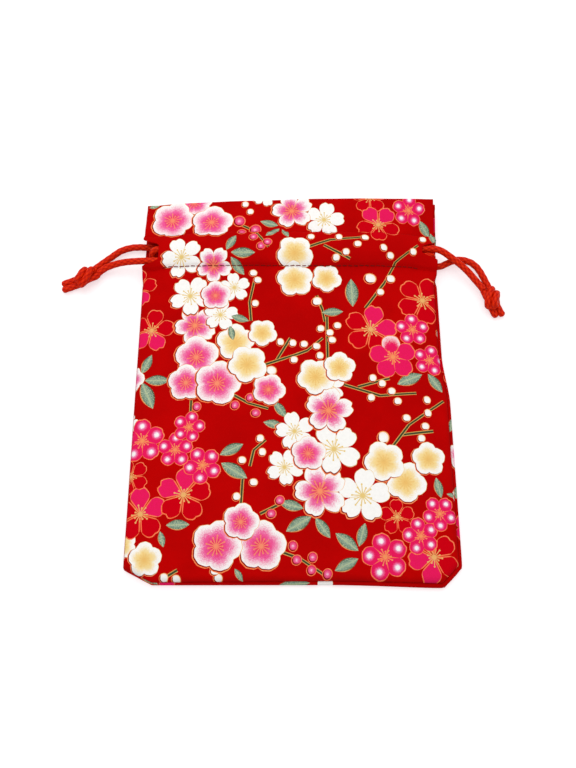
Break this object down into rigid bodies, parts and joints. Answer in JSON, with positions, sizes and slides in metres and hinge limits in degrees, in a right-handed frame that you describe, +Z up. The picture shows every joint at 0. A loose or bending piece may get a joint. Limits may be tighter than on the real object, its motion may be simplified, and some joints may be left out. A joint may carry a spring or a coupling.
{
  "type": "kinchaku drawstring pouch",
  "caption": "Flat cotton drawstring pouch in a red plum and cherry blossom print, with a hemmed mouth, side slits and braided cords knotted at each side.",
  "frame": {"origin": "middle of the pouch's two panels, on the surface that the pouch lies on", "axes": "+X to the right seen from the front panel, +Y towards the mouth, +Z up through the front panel"},
  "size_m": [0.2073, 0.179, 0.014],
  "materials": {
    "printed_cotton": "plain-weave cotton, printed with blossoms outlined in gold",
    "braided_cord": "tight satin braid, three millimetres thick"
  },
  "bodies": {
    "root": {"front_panel": "printed_cotton", "back_panel": "printed_cotton", "left_drawstring": "braided_cord", "right_drawstring": "braided_cord", "left_drawstring_knot": "braided_cord", "right_drawstring_knot": "braided_cord"}
  },
  "joints": []
}
